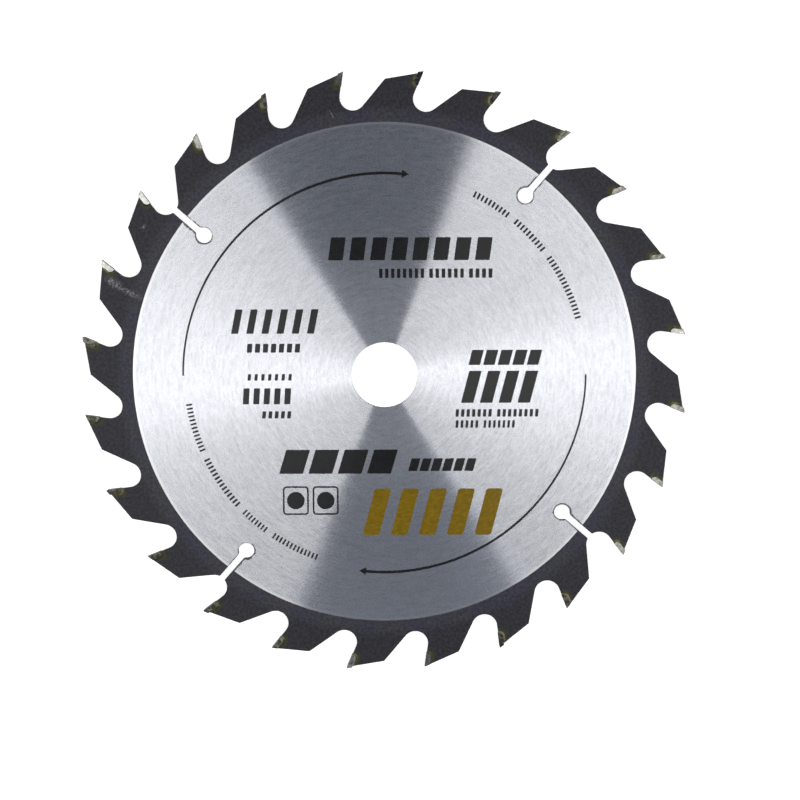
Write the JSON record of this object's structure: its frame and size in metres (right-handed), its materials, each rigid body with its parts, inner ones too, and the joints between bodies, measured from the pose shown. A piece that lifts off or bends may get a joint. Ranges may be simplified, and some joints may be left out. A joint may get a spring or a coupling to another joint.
{
  "type": "circular saw blade",
  "caption": "Flat round steel saw blade with hooked teeth, brazed carbide tips, leaning expansion slots and a plain arbor bore, for cutting wood.",
  "frame": {"origin": "on the bore axis, in the plane that the undersides of the tips rest on", "axes": "+Z along the bore axis out of the ground upper face, +X and +Y across the blade; seen from +Z the teeth point clockwise"},
  "size_m": [0.1824, 0.1824, 0.0022],
  "materials": {
    "plate_steel": "circular ground bright steel inside a satin black rim",
    "carbide": "ground carbide, fine satin",
    "braze": "dull brassy filler, heat tinted",
    "print_black": "thin matt black print on the ground steel",
    "print_gold": "thin dull gold print on the ground steel"
  },
  "bodies": {
    "root": {"blade_body": "plate_steel", "carbide_tip_01": "carbide", "carbide_tip_02": "carbide", "carbide_tip_03": "carbide", "carbide_tip_04": "carbide", "carbide_tip_05": "carbide", "carbide_tip_06": "carbide", "carbide_tip_07": "carbide", "carbide_tip_08": "carbide", "carbide_tip_09": "carbide", "carbide_tip_10": "carbide", "carbide_tip_11": "carbide", "carbide_tip_12": "carbide", "carbide_tip_13": "carbide", "carbide_tip_14": "carbide", "carbide_tip_15": "carbide", "carbide_tip_16": "carbide", "carbide_tip_17": "carbide", "carbide_tip_18": "carbide", "carbide_tip_19": "carbide", "carbide_tip_20": "carbide", "carbide_tip_21": "carbide", "carbide_tip_22": "carbide", "carbide_tip_23": "carbide", "carbide_tip_24": "carbide", "braze_01": "braze", "braze_02": "braze", "braze_03": "braze", "braze_04": "braze", "braze_05": "braze", "braze_06": "braze", "braze_07": "braze", "braze_08": "braze", "braze_09": "braze", "braze_10": "braze", "braze_11": "braze", "braze_12": "braze", "braze_13": "braze", "braze_14": "braze", "braze_15": "braze", "braze_16": "braze", "braze_17": "braze", "braze_18": "braze", "braze_19": "braze", "braze_20": "braze", "braze_21": "braze", "braze_22": "braze", "braze_23": "braze", "braze_24": "braze"}
  },
  "joints": []
}
